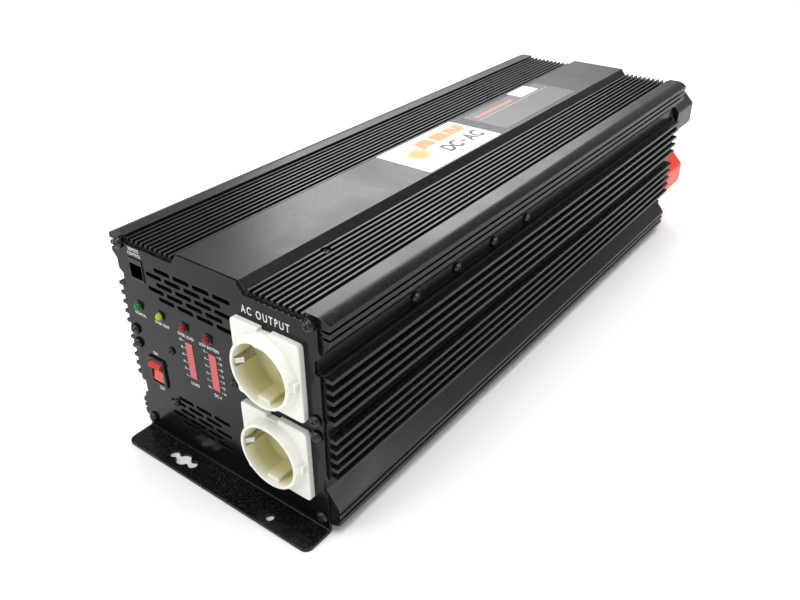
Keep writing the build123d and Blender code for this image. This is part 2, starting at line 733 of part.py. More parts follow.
def fan_guard(z):
    """Guard of one fan: rings, four arms and four eyelets."""
    arm_end = hypot(fan_hole_pitch, fan_hole_pitch) / 2
    with BuildPart() as guard:
        with BuildSketch(front_plane(rear_y)):
            with Locations((fan_x, z)):
                for radius in guard_rings:
                    Circle(radius + wire / 2)
                    Circle(radius - wire / 2, mode=Mode.SUBTRACT)
                with PolarLocations(0, 4, start_angle=45):
                    with Locations(((arm_end + guard_rings[-1]) / 2, 0)):
                        Rectangle(arm_end - guard_rings[-1], wire)
                with GridLocations(fan_hole_pitch, fan_hole_pitch, 2, 2):
                    Circle(eyelet)
                with GridLocations(fan_hole_pitch, fan_hole_pitch, 2, 2):
                    Circle(screw / 2 + clear, mode=Mode.SUBTRACT)
        extrude(amount=-wire)
    return guard.part


write(Compound([fan_guard(z).solid() for z in rear_zs]), "fan_guards")

fan_bolt = pan_screw(wire + sheet + fan_depth + 4, screw, head, head_height)
fan_bolts = place(fan_bolt, [(-x, z, wire) for x, z in fan_holes], rear_plane)
fan_nut = extrude(RegularPolygon(3.9, 6) - Circle(screw / 2 + 0.05), amount=3)
fan_nuts = place(fan_nut, [(x, z, 0) for x, z in fan_holes], front_plane(hub_y))
write(Compound(fan_bolts.solids() + fan_nuts.solids()), "fan_screws")

stud_out = base_thickness + cap_gap + 28
stud_in = 26.0
stud_end = rear_y + stud_out
for name, z in zip(("negative", "positive"), rear_zs):
    middle = Location((terminal_x, rear_y, z), (-90, 0, 0))
    with BuildPart() as terminal_base:
        with Locations(middle):
            Cylinder(base_radius, base_thickness, align=(Align.CENTER, Align.CENTER, Align.MIN))
        fillet(terminal_base.faces().sort_by(Axis.Y)[-1].edges(), 1.5)
        with Locations(middle):
            Cylinder(boss_radius, sheet + 2, align=(Align.CENTER, Align.CENTER, Align.MAX))
            Cylinder(stud / 2 + running, 60, mode=Mode.SUBTRACT)
    write(terminal_base.part, name + "_terminal_base")

    cap_start = base_thickness + cap_gap
    with BuildPart() as terminal_cap:
        cap_plane = Plane((terminal_x, rear_y + cap_start, z), x_dir=(-1, 0, 0), z_dir=(0, 1, 0))
        with BuildSketch(cap_plane):
            RegularPolygon(cap_radius, 8, rotation=22.5)
            fillet(vertices(), 5)
        extrude(amount=cap_length)
        chamfer(terminal_cap.faces().sort_by(Axis.Y)[-1].edges(), 4)
        with BuildSketch(cap_plane):
            Circle(stud / 2 + running)
        extrude(amount=stud_out - cap_start + 1, mode=Mode.SUBTRACT)
    write(terminal_cap.part, name + "_terminal_cap")

stud_length = stud_in + stud_out
lug_y = inside_rear - 12
with BuildPart() as terminal_studs:
    with Locations(*[Location((terminal_x, stud_end, z), (-90, 0, 0)) for z in rear_zs]):
        Cylinder(stud / 2, stud_length, align=(Align.CENTER, Align.CENTER, Align.MAX))
    chamfer(terminal_studs.edges().filter_by(GeomType.CIRCLE), 0.8)

stud_nut = extrude(RegularPolygon(9.2, 6) - Circle(stud / 2 + 0.05), amount=5)
nut_ys = (lug_y, lug_y + bar_thickness + 5)
stud_nuts = [front_plane(y) * Pos(terminal_x, z, 0) * stud_nut for z in rear_zs for y in nut_ys]
write(Compound(terminal_studs.part.solids() + stud_nuts), "terminal_studs")

foot_len = 26.0
arm = 16.0
lug_high = rear_zs[0] + arm / 2
with BuildPart() as positive_bus_bar:
    with BuildSketch(front_plane(lug_y + bar_thickness)):
        with Locations((terminal_x, (board_top + rear_zs[1] + arm / 2) / 2)):
            Rectangle(arm, rear_zs[1] + arm / 2 - board_top)
        with Locations((terminal_x, rear_zs[1])):
            Circle(stud / 2 + running, mode=Mode.SUBTRACT)
    extrude(amount=bar_thickness)
    with Locations((terminal_x, lug_y, board_top)):
        Box(arm, foot_len, bar_thickness, align=(Align.CENTER, Align.MAX, Align.MIN))
write(positive_bus_bar.part, "positive_bus_bar")

with BuildPart() as negative_bus_bar:
    with BuildSketch(front_plane(lug_y + bar_thickness)):
        with Locations(((terminal_x + ground_x) / 2, rear_zs[0])):
            Rectangle(terminal_x - ground_x + arm, arm)
        with Locations((ground_x, (board_top + lug_high) / 2)):
            Rectangle(arm, lug_high - board_top)
        with Locations((terminal_x, rear_zs[0])):
            Circle(stud / 2 + running, mode=Mode.SUBTRACT)
    extrude(amount=bar_thickness)
    with Locations((ground_x, lug_y, board_top)):
        Box(arm, foot_len, bar_thickness, align=(Align.CENTER, Align.MAX, Align.MIN))
write(negative_bus_bar.part, "negative_bus_bar")

ground_shank = sheet + ground_collar + 1
with BuildPart() as ground_bolt:
    with BuildSketch(front_plane(rear_y + ground_collar)):
        with Locations((ground_x, ground_z)):
            RegularPolygon(ground_hexagon, 6)
    extrude(amount=ground_collar)
    with BuildSketch(front_plane(rear_y + ground_collar + ground_free)):
        with Locations((ground_x, ground_z)):
            Circle(ground_stud / 2)
    extrude(amount=ground_free + ground_collar + ground_shank)
ground_ring = RegularPolygon(ground_hexagon, 6) - Circle(ground_stud / 2 + 0.02)
ground_nut = extrude(ground_ring, amount=ground_collar)
ground_nut = front_plane(inside_rear) * Pos(ground_x, ground_z, 0) * ground_nut
write(Compound([ground_bolt.part, ground_nut]), "ground_terminal")

# ================================================================ inside

board_half_length = shell_length / 2 - board_end_gap
board_plane = Plane.XY.offset(board_top)
standoff_x, standoff_radius = 55.0, 3.5
end_standoff = board_half_length - 25
standoff_spots = [(s * standoff_x, y) for s in (1, -1) for y in (-end_standoff, 0, end_standoff)]
with BuildPart() as main_board:
    with Locations((0, 0, board_z)):
        Box(2 * board_half_width, 2 * board_half_length, pcb,
            align=(Align.CENTER, Align.CENTER, Align.MIN))
    with Locations(*[(x, y, board_z + pcb) for x, y in standoff_spots]):
        Hole(small_screw / 2 + clear)
write(main_board.part, "main_board")

with BuildPart() as board_standoffs:
    with Locations(*[(x, y, floor_z) for x, y in standoff_spots]):
        Cylinder(standoff_radius, board_lift, align=(Align.CENTER, Align.CENTER, Align.MIN))
        Cylinder(small_screw / 2 + 0.1, 3 * board_lift, mode=Mode.SUBTRACT)

main_screw = pan_screw(pcb + board_lift - 1, small_screw, small_head, 2.0)
write(place(main_screw, [(x, y, 0) for x, y in standoff_spots], board_plane), "board_screws")

window = (core_size - core_leg - 2 * core_yoke) / 2
core_ys = [-118 + i * transformer_pitch for i in range(transformer_count)]
core_mid = board_top + core_size / 2
coil_height = core_size - 2 * core_yoke
coil_gap = 0.3
with BuildPart() as transformer_cores:
    with Locations(*[(transformer_x, y, core_mid) for y in core_ys]):
        Box(core_size, core_depth, core_size)
        with Locations((-(core_leg + window) / 2, 0, 0), ((core_leg + window) / 2, 0, 0)):
            Box(window, core_depth, coil_height, mode=Mode.SUBTRACT)
write(transformer_cores.part, "transformer_cores")

with BuildPart() as transformer_windings:
    with BuildSketch(Plane.XY.offset(core_mid)):
        with Locations(*[(transformer_x, y) for y in core_ys]):
            RectangleRounded(core_leg + 2 * window - 2 * coil_gap, core_depth + 2 * window, 6)
            Rectangle(core_leg + 2 * coil_gap, core_depth + 2 * coil_gap, mode=Mode.SUBTRACT)
    extrude(amount=coil_height / 2 - coil_gap, both=True)
write(transformer_windings.part, "transformer_windings")


def can(radius, height):
    """Electrolytic capacitor standing on its base."""
    with BuildPart() as item:
        Cylinder(radius, height, align=(Align.CENTER, Align.CENTER, Align.MIN))
        fillet(item.faces().sort_by(Axis.Z)[-1].edges(), 1.2)
        with BuildSketch(Plane.XY.offset(2.2)):
            Circle(radius)
            Circle(radius - 0.5, mode=Mode.SUBTRACT)
        extrude(amount=1.2, mode=Mode.SUBTRACT)
    return item.part


input_can_radius, input_can_height = 10.5, 38.0
output_can_radius, output_can_height = 13.0, 45.0
output_can_y = 37 - board_half_length
input_spots = [(x, y, 0) for x in (18, 41) for y in range(-100, 120, 27)]
output_spots = [(x, output_can_y, 0) for x in (-40, -10)]
write(place(can(input_can_radius, input_can_height), input_spots, board_plane), "input_capacitors")
write(place(can(output_can_radius, output_can_height), output_spots, board_plane), "output_capacitors")

choke_x, choke_y = 30.0, 43 - board_half_length
choke_outer, choke_inner, choke_height = 20.0, 10.0, 10.0
choke_wrap = 3.5            # winding over the core
choke_z = board_top + choke_height / 2 + choke_wrap + 0.5
with BuildPart() as choke_core:
    with Locations((choke_x, choke_y, choke_z)):
        Cylinder(choke_outer, choke_height)
        Cylinder(choke_inner, choke_height, mode=Mode.SUBTRACT)
write(choke_core.part, "choke_core")

core_band = choke_outer - choke_inner
with BuildPart() as choke_winding:
    with BuildSketch(front_plane(choke_y)):
        with Locations((choke_x + (choke_outer + choke_inner) / 2, choke_z)):
            RectangleRounded(core_band + 2 * choke_wrap, choke_height + 2 * choke_wrap, 4)
            Rectangle(core_band + 2 * coil_gap, choke_height + 2 * coil_gap, mode=Mode.SUBTRACT)
    revolve(axis=Axis((choke_x, choke_y, 0), (0, 0, 1)), revolution_arc=300)
write(choke_winding.part, "choke_winding")

fuse_width, fuse_length, fuse_height = 5.0, 19.0, 14.0
fuse_y = board_half_length - 37
fuse_pitch = 9.0
with BuildPart() as fuses:
    with Locations(*[(-58 + i * fuse_pitch, fuse_y, board_top) for i in range(6)]):
        Box(fuse_width, fuse_length, fuse_height, align=(Align.CENTER, Align.CENTER, Align.MIN))
    chamfer(fuses.edges().filter_by(Axis.Y).group_by(Axis.Z)[-1], 1)
write(fuses.part, "fuses")

# ---- transistors clamped to the side channels, their upper boards and posts
board_under_row = 19.1      # underside of the upper boards below the upper row of screws
upper_row_z, lower_row_z = split_z + channel_mid, split_z - channel_mid
upper_board_z = upper_row_z - board_under_row
board_rise = upper_board_z - board_top
rows = ((upper_row, upper_row_z, upper_board_z + pcb), (lower_row, lower_row_z, board_top))
body_x = channel_x - wall
with BuildPart() as transistors:
    for row, z, leg_foot in rows:
        for s in (1, -1):
            for first in row[:-1]:
                gap_mid = first + (row[1] - row[0]) / 2
                for t in (-1, 1):
                    y = gap_mid + t * (transistor[1] / 2 + 1.2)
                    with Locations((s * (body_x - transistor[0] / 2), y, z)):
                        Box(*transistor)
                    leg_top = z - transistor[2] / 2
                    for i in (-1, 0, 1):
                        with Locations((s * (body_x - 2.4), y + i * 2.5, leg_top)):
                            Box(0.5, 1, leg_top - leg_foot, align=(Align.CENTER, Align.CENTER, Align.MAX))
write(transistors.part, "transistors")

with BuildPart() as transistor_clamps:
    for row, z, leg_foot in rows:
        for s in (1, -1):
            with Locations((s * (bar_x + clamp_bar[0] / 2), (row[0] + row[-1]) / 2, z)):
                Box(clamp_bar[0], row[-1] - row[0] + 20, clamp_bar[1])
            with Locations(*[Location((s * bar_x, y, z), (0, 90, 0)) for y in row]):
                Cylinder(screw / 2 + 0.05, 3 * clamp_bar[0], mode=Mode.SUBTRACT)
write(transistor_clamps.part, "transistor_clamps")

upper_board_x = (50.0, 74.0)
upper_board_y = (upper_row[0] - 15, upper_row[-1] + 15)
post_x = 61.0
post_ys = (upper_row[0] - 5, (upper_row[0] + upper_row[-1]) / 2, upper_row[-1] + 5)
with BuildPart() as upper_boards:
    for s in (1, -1):
        with Locations((s * sum(upper_board_x) / 2, sum(upper_board_y) / 2, upper_board_z + pcb / 2)):
            Box(upper_board_x[1] - upper_board_x[0], upper_board_y[1] - upper_board_y[0], pcb)
write(upper_boards.part, "upper_boards")

with BuildPart() as upper_board_posts:
    with Locations(*[(s * post_x, y, board_top) for s in (1, -1) for y in post_ys]):
        Cylinder(2.5, board_rise, align=(Align.CENTER, Align.CENTER, Align.MIN))
write(Compound(board_standoffs.part.solids() + upper_board_posts.part.solids()), "board_standoffs")


def lead(points, radius):
    """A wire along straight runs joined by tangent arcs."""
    with BuildPart() as wire_run:
        with BuildLine():
            path = FilletPolyline(*points, radius=6 * radius)
        with BuildSketch(Plane(path @ 0, z_dir=path % 0)):
            Circle(radius)
        sweep()
    return wire_run.part


lead_step = 5.0
socket_leads = []
for i, (x, z) in enumerate(reversed(pin_spots)):
    y = 4.8 - board_half_length + i * lead_step
    socket_leads.append(lead([(x, contact_y, z), (x, y, z), (x, y, board_top)], 1.5))
write(Compound(socket_leads), "socket_leads")

switch_leads = []
for z, shift in zip(tab_zs, (28.0, 21.5)):
    start, turn = (switch_x, tab_y + 8, z), (switch_x, tab_y + shift, z)
    switch_leads.append(lead([start, turn, (switch_x, tab_y + shift, board_top)], 1.0))
write(Compound(switch_leads), "switch_leads")

fan_leads = []
for z, x in zip(rear_zs, (-14.0, -7.0)):
    fan_leads.append(lead([(x, hub_y, z), (x, hub_y - 9, z), (x, hub_y - 9, board_top)], 0.9))
write(Compound(fan_leads), "fan_leads")

# ================================================================ labels on the centre plate

label_thickness = 0.2
with BuildPart() as name_label:
    with Locations((-0.5, front_y + 226.5, top_z)):
        Box(47, 93, label_thickness, align=(Align.CENTER, Align.CENTER, Align.MIN))
write(name_label.part, "name_label")

with BuildPart() as rating_label:
    with Locations((0, front_y + 345, top_z)):
        Box(40, 118, label_thickness, align=(Align.CENTER, Align.CENTER, Align.MIN))
write(rating_label.part, "rating_label")
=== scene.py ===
import json
import math

import bpy
from mathutils import Matrix, Vector

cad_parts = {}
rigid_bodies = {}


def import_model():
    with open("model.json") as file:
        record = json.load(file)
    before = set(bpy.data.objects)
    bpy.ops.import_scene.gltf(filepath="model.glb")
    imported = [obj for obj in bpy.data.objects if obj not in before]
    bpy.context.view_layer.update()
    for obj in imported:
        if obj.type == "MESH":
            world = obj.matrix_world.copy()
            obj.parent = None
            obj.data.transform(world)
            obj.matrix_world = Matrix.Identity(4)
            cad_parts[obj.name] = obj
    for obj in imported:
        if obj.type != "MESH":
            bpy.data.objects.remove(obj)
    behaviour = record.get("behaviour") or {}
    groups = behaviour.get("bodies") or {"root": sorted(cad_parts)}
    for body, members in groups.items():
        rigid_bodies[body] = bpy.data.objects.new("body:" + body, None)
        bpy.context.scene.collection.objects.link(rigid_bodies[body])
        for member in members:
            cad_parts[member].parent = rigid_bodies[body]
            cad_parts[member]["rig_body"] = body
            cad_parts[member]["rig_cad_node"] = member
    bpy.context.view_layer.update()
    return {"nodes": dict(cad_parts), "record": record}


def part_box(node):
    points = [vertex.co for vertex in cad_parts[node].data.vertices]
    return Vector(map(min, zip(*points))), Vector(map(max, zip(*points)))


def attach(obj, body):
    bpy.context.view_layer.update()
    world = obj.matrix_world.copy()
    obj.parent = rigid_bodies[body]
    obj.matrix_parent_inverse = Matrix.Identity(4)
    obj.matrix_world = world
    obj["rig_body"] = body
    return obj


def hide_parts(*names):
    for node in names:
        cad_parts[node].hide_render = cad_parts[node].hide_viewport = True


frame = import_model()

# Power inverter in a finned case. Metres; +X right, +Y to the battery end, +Z up.

MM = 0.001
nodes = frame["nodes"]
front_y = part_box("socket_retainers")[0].y - 2 * MM

# Heights of the lettering on the front panel and how far print stands off what it is on.
SMALL_PRINT = 2.1 * MM
SWITCH_PRINT = 2.4 * MM
BAR_PRINT = 2.3 * MM
SCALE_PRINT = 1.6 * MM
OUTPUT_PRINT = 4.9 * MM
PRINT_LIFT = 0.03 * MM
INK_DEPTH = 0.02 * MM
LABEL_THICKNESS = 0.1 * MM
LABEL_CORNER = 1.2 * MM


# ---------------------------------------------------------------- working tools

def deselect():
    if bpy.context.mode != "OBJECT":
        bpy.ops.object.mode_set(mode="OBJECT")
    bpy.ops.object.select_all(action="DESELECT")


def pick(*pieces):
    deselect()
    for piece in pieces:
        piece.select_set(True)
    bpy.context.view_layer.objects.active = pieces[0]


def active():
    return bpy.context.view_layer.objects.active


def settle(piece, name, material, body="root", angle=35):
    """Puts a finished piece's place in its mesh, names, shades and finishes it, and lets it ride."""
    pick(piece)
    bpy.ops.object.transform_apply(location=True, rotation=True, scale=True)
    bpy.ops.object.shade_smooth_by_angle(angle=math.radians(angle))
    piece.name = name
    piece.data.name = name
    piece.data.materials.clear()
    piece.data.materials.append(material)
    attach(piece, body)
    return piece


def select_faces(piece, wanted):
    """Leaves edit mode's face selection on the faces that wanted() says."""
    bpy.ops.object.mode_set(mode="EDIT")
    bpy.ops.mesh.select_mode(type="FACE")
    bpy.ops.mesh.select_all(action="DESELECT")
    bpy.ops.object.mode_set(mode="OBJECT")
    for face in piece.data.polygons:
        face.select = wanted(face)
    bpy.ops.object.mode_set(mode="EDIT")


def islands(node):
    """Lowest and highest corner of each separate solid of a CAD node."""
    mesh = nodes[node].data
    keys = [tuple(round(c, 6) for c in v.co) for v in mesh.vertices]
    group = {key: key for key in keys}

    def root(key):
        while group[key] != key:
            group[key] = group[group[key]]
            key = group[key]
        return key

    for face in mesh.polygons:
        corners = [keys[i] for i in face.vertices]
        for other in corners[1:]:
            group[root(other)] = root(corners[0])
    parts = {}
    for key in set(keys):
        parts.setdefault(root(key), []).append(key)
    boxes = [(Vector(map(min, *points)), Vector(map(max, *points))) for points in parts.values()]
    return sorted(boxes, key=lambda pair: tuple(round(c, 5) for c in pair[0]))


def softened(node, width, slot, name, body="root", segments=2, angle=32):
    """A copy of a CAD node with its sharp edges rounded, which stands for the node."""
    pick(nodes[node])
    bpy.ops.object.duplicate()
    copy = active()
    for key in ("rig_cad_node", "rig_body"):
        if key in copy:
            del copy[key]
    bpy.ops.object.mode_set(mode="EDIT")
    bpy.ops.mesh.select_all(action="SELECT")
    bpy.ops.mesh.customdata_custom_splitnormals_clear()
    bpy.ops.mesh.remove_doubles(threshold=2e-6)
    bpy.ops.mesh.dissolve_limited(angle_limit=math.radians(0.4))
    bpy.ops.object.mode_set(mode="OBJECT")
    bevel = copy.modifiers.new("edges", "BEVEL")
    bevel.width = width
    bevel.segments = segments
    bevel.limit_method = "ANGLE"
    bevel.angle_limit = math.radians(angle)
    bevel.use_clamp_overlap = True
    bevel.miter_outer = "MITER_ARC"
    bpy.ops.object.modifier_apply(modifier="edges")
    settle(copy, name, finishes[slot], body, angle=40)
    flat = copy.modifiers.new("flat_faces", "WEIGHTED_NORMAL")
    flat.weight = 100
    flat.keep_sharp = True
    bpy.ops.object.modifier_apply(modifier="flat_faces")
    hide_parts(node)


# ---------------------------------------------------------------- finishes

def add_node(tree, kind, values=None, **settings):
    item = tree.nodes.new(kind)
    for key, value in settings.items():
        setattr(item, key, value)
    for key, value in (values or {}).items():
        item.inputs[key].default_value = value
    return item


def new_group(name, inputs, outputs):
    """An empty shader group; inputs are (name, kind, default) and outputs (name, kind)."""
    group = bpy.data.node_groups.new(name, "ShaderNodeTree")
    for label, kind, default in inputs:
        socket = group.interface.new_socket(label, in_out="INPUT", socket_type=kind)
        socket.default_value = default
    for label, kind in outputs:
        group.interface.new_socket(label, in_out="OUTPUT", socket_type=kind)
    return group, group.nodes.new("NodeGroupInput"), group.nodes.new("NodeGroupOutput")


def maths(tree, operation, a, b=None, clamp=False):
    item = tree.nodes.new("ShaderNodeMath")
    item.operation = operation
    item.use_clamp = clamp
    for socket, value in zip(item.inputs, (a, b)):
        if isinstance(value, bpy.types.NodeSocket):
            tree.links.new(value, socket)
        elif value is not None:
            socket.default_value = value
    return item.outputs[0]


def mix_colour(tree, factor, a, b):
    item = tree.nodes.new("ShaderNodeMix")
    item.data_type = "RGBA"
    for socket, value in ((item.inputs["Factor"], factor), (item.inputs[6], a), (item.inputs[7], b)):
        if isinstance(value, bpy.types.NodeSocket):
            tree.links.new(value, socket)
        else:
            socket.default_value = value
    return item.outputs[2]


def make_grain_group():
    """Fine surface relief, handling smudges and settled dust, on Object coordinates."""
    floats = [("Grain scale", 900.0), ("Smudge scale", 14.0), ("Dust scale", 2200.0)]
    group, start, end = new_group(
        "surface_grain",
        [("Stretch", "NodeSocketVector", (1.0, 1.0, 1.0))] + [(n, "NodeSocketFloat", v) for n, v in floats],
        [("Height", "NodeSocketFloat"), ("Smudge", "NodeSocketFloat"), ("Dust", "NodeSocketFloat")])
    place = add_node(group, "ShaderNodeTexCoord")
    mapped = add_node(group, "ShaderNodeMapping")
    grain = add_node(group, "ShaderNodeTexNoise", {"Detail": 3.0, "Roughness": 0.6})
    smudge = add_node(group, "ShaderNodeTexNoise", {"Detail": 5.0, "Roughness": 0.65, "Distortion": 0.6})
    dust = add_node(group, "ShaderNodeTexNoise", {"Detail": 1.0})
    facing = add_node(group, "ShaderNodeNewGeometry")
    parts = add_node(group, "ShaderNodeSeparateXYZ")
    link = group.links.new
    link(place.outputs["Object"], mapped.inputs["Vector"])
    link(start.outputs["Stretch"], mapped.inputs["Scale"])
    link(mapped.outputs["Vector"], grain.inputs["Vector"])
    link(start.outputs["Grain scale"], grain.inputs["Scale"])
    link(place.outputs["Object"], smudge.inputs["Vector"])
    link(start.outputs["Smudge scale"], smudge.inputs["Scale"])
    link(place.outputs["Object"], dust.inputs["Vector"])
    link(start.outputs["Dust scale"], dust.inputs["Scale"])
    link(facing.outputs["Normal"], parts.inputs["Vector"])
    smudge_out = maths(group, "SUBTRACT", smudge.outputs["Fac"], 0.42)
    link(grain.outputs["Fac"], end.inputs["Height"])
    link(maths(group, "MULTIPLY", smudge_out, 3.2, clamp=True), end.inputs["Smudge"])
    speck = maths(group, "MULTIPLY", maths(group, "SUBTRACT", dust.outputs["Fac"], 0.62), 12.0, clamp=True)
    upward = maths(group, "MAXIMUM", parts.outputs["Z"], 0.12)
    link(maths(group, "MULTIPLY", speck, upward), end.inputs["Dust"])
    return group


def make_edge_highlight_group():
    """Mask of a painted highlight along outer edges, broken up by noise."""
    group, start, end = new_group(
        "painted_edge_highlight", [("Radius", "NodeSocketFloat", 0.0006), ("Amount", "NodeSocketFloat", 1.0)],
        [("Mask", "NodeSocketFloat")])
    round_off = add_node(group, "ShaderNodeBevel", samples=6)
    surface = add_node(group, "ShaderNodeNewGeometry")
    dot = add_node(group, "ShaderNodeVectorMath", operation="DOT_PRODUCT")
    place = add_node(group, "ShaderNodeTexCoord")
    noise = add_node(group, "ShaderNodeTexNoise", {"Scale": 130.0, "Detail": 4.0, "Roughness": 0.7})
    link = group.links.new
    link(start.outputs["Radius"], round_off.inputs["Radius"])
    link(round_off.outputs["Normal"], dot.inputs[0])
    link(surface.outputs["Normal"], dot.inputs[1])
    link(place.outputs["Object"], noise.inputs["Vector"])
    turned = maths(group, "SUBTRACT", 1.0, dot.outputs["Value"])
    broken_highlight = maths(group, "MULTIPLY", turned, maths(group, "SUBTRACT", noise.outputs["Fac"], 0.25))
    stronger = maths(group, "MULTIPLY", broken_highlight, 9.0)
    mask = maths(group, "MULTIPLY", stronger, start.outputs["Amount"], clamp=True)
    link(mask, end.inputs["Mask"])
    return group


GRAIN = make_grain_group()
EDGE_HIGHLIGHT = make_edge_highlight_group()


SETTLED_DUST = (0.55, 0.54, 0.52, 1.0)
# Painted shade: a darker, warmer colour painted deep inside the socket recesses.
PAINTED_RECESS_SHADE = (0.66, 0.62, 0.34, 1.0)
GAP_RED = (0.12, 0.003, 0.006, 1.0)


def rgba(colour):
    return (*colour[:3], 1.0)


def finish_material(name, colour, roughness, grain=900.0, relief=0.02, stretch=(1, 1, 1), tone=1.5,
                    smudge=0.08, dust=0.25, edge=None, edge_radius=0.0005, paint=None, **shader):
    """A moulded, painted or metal finish. paint(tree, colour) may put print or painted shade over the base
    colour; edge is the colour of a painted highlight along outer edges.
    """
    material = bpy.data.materials.new(name)
    material.use_nodes = True
    tree = material.node_tree
    body = tree.nodes["Principled BSDF"]
    for key, value in shader.items():
        body.inputs[key.replace("_", " ")].default_value = value
    surface = add_node(tree, "ShaderNodeGroup", node_tree=GRAIN)
    surface.inputs["Grain scale"].default_value = grain
    surface.inputs["Stretch"].default_value = stretch
    lighter = rgba([min(1.0, c * tone + 0.004) for c in colour])
    out = mix_colour(tree, maths(tree, "MULTIPLY", surface.outputs["Smudge"], 0.5), rgba(colour), lighter)
    if paint:
        out = paint(tree, out)
    # Painted highlight: the edge colour is painted along outer edges where they would catch the light.
    if edge:
        highlight = add_node(tree, "ShaderNodeGroup", node_tree=EDGE_HIGHLIGHT)
        highlight.inputs["Radius"].default_value = edge_radius
        out = mix_colour(tree, highlight.outputs["Mask"], out, rgba(edge))
    dust_mask = maths(tree, "MULTIPLY", surface.outputs["Dust"], dust)
    out = mix_colour(tree, dust_mask, out, SETTLED_DUST)
    rough = maths(tree, "ADD", maths(tree, "MULTIPLY", surface.outputs["Smudge"], smudge), roughness)
    rough = maths(tree, "ADD", rough, maths(tree, "MULTIPLY", dust_mask, 0.5), clamp=True)
    bump = add_node(tree, "ShaderNodeBump", {"Strength": 0.35, "Distance": relief * MM})
    link = tree.links.new
    link(out, body.inputs["Base Color"])
    link(rough, body.inputs["Roughness"])
    link(surface.outputs["Height"], bump.inputs["Height"])
    link(bump.outputs["Normal"], body.inputs["Normal"])
    return material


def paint_recess_shade(tree, base):
    """Painted shade: the sockets' plastic is painted darker and warmer down inside their recesses, for
    shade and for light scattered in the plastic there.
    """
    mouth_radius, rim_depth, fade_depth = 21.5 * MM, 0.8 * MM, 7 * MM
    place = add_node(tree, "ShaderNodeTexCoord")
    depth = add_node(tree, "ShaderNodeSeparateXYZ")
    tree.links.new(place.outputs["Object"], depth.inputs["Vector"])
    tone = None
    for node in ("upper_socket", "lower_socket"):
        low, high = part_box(node)
        middle = (low + high) / 2
        squares = [maths(tree, "POWER", maths(tree, "SUBTRACT", depth.outputs[axis], value), 2.0)
                   for axis, value in (("X", middle.x), ("Z", middle.z))]
        radius = maths(tree, "SQRT", maths(tree, "ADD", *squares))
        inside = maths(tree, "LESS_THAN", radius, mouth_radius)
        run = maths(tree, "SUBTRACT", depth.outputs["Y"], low.y + rim_depth)
        share = maths(tree, "MULTIPLY", maths(tree, "DIVIDE", run, fade_depth, clamp=True), inside)
        tone = share if tone is None else maths(tree, "MAXIMUM", tone, share)
    return mix_colour(tree, tone, base, PAINTED_RECESS_SHADE)


EXTRUDED = (40.0, 1.0, 40.0)
# The edge colours below are painted highlights along outer edges.
finishes = {
    "black_anodised": finish_material(
        "black_anodised", (0.0045, 0.0046, 0.0052), 0.27, grain=55.0, relief=0.012, stretch=EXTRUDED,
        smudge=0.10, edge=(0.11, 0.11, 0.115), edge_radius=0.0007, dust=0.12, Specular_IOR_Level=0.22),
    "black_panel": finish_material(
        "black_panel", (0.0035, 0.0035, 0.004), 0.14, grain=1500.0, relief=0.02, smudge=0.12, dust=0.12,
        edge=(0.09, 0.09, 0.095), Specular_IOR_Level=0.17),
    "black_screw": finish_material(
        "black_screw", (0.006, 0.006, 0.0065), 0.25, grain=1800.0, relief=0.02, dust=0.1,
        edge=(0.12, 0.12, 0.11), edge_radius=0.0003, Specular_IOR_Level=0.45),
    "steel": finish_material(
        "steel", (0.58, 0.58, 0.6), 0.3, grain=260.0, relief=0.01, tone=1.15, stretch=(1, 12, 1),
        Metallic=1.0, dust=0.15),
    "brass": finish_material("brass", (0.78, 0.56, 0.24), 0.28, grain=700.0, tone=1.15, Metallic=1.0),
    "copper": finish_material("copper", (0.72, 0.36, 0.2), 0.3, grain=500.0, tone=1.2, Metallic=1.0),
    # The ivory plastic gets painted shade deep inside the socket recesses.
    "ivory_plastic": finish_material(
        "ivory_plastic", (0.86, 0.86, 0.8), 0.3, grain=1300.0, relief=0.03, tone=1.04, smudge=0.12,
        dust=0.05, paint=paint_recess_shade, Subsurface_Weight=0.1, Subsurface_Scale=0.003,
        Specular_IOR_Level=0.45),
    "black_plastic": finish_material(
        "black_plastic", (0.007, 0.007, 0.007), 0.38, grain=1500.0, relief=0.05, edge=(0.05, 0.05, 0.05),
        edge_radius=0.0004, dust=0.1, Specular_IOR_Level=0.35),
    "black_cap": finish_material(
        "black_cap", (0.006, 0.006, 0.006), 0.3, grain=1100.0, relief=0.04, edge=(0.06, 0.06, 0.06),
        dust=0.1, Specular_IOR_Level=0.35),
    "red_cap": finish_material(
        "red_cap", (0.8, 0.025, 0.008), 0.34, grain=1100.0, relief=0.05, tone=1.2,
        edge=(0.75, 0.09, 0.05), Subsurface_Weight=0.05, Subsurface_Scale=0.003),
    "rocker_red": finish_material(
        "rocker_red", (0.66, 0.035, 0.01), 0.22, grain=1400.0, relief=0.02, tone=1.15,
        Coat_Weight=0.3),
    "pcb_green": finish_material(
        "pcb_green", (0.015, 0.12, 0.045), 0.35, grain=160.0, relief=0.06, tone=1.8),
    "ferrite": finish_material("ferrite", (0.05, 0.047, 0.045), 0.6, grain=2200.0, relief=0.1),
    "winding": finish_material("winding", (0.6, 0.4, 0.08), 0.4, grain=90.0, relief=0.2, tone=1.2,
                               stretch=(1, 1, 14)),
    "can_blue": finish_material("can_blue", (0.02, 0.035, 0.12), 0.28, grain=700.0, tone=1.4),
    "aluminium": finish_material("aluminium", (0.7, 0.7, 0.72), 0.35, grain=90.0, tone=1.1,
                                 stretch=(1, 8, 1), Metallic=1.0),
    "wire_red": finish_material("wire_red", (0.5, 0.02, 0.015), 0.45, grain=900.0),
    "wire_black": finish_material("wire_black", (0.015, 0.015, 0.015), 0.45, grain=900.0),
    "fuse_plastic": finish_material("fuse_plastic", (0.8, 0.3, 0.02), 0.3, grain=800.0, tone=1.2,
                                    Transmission_Weight=0.3),
}
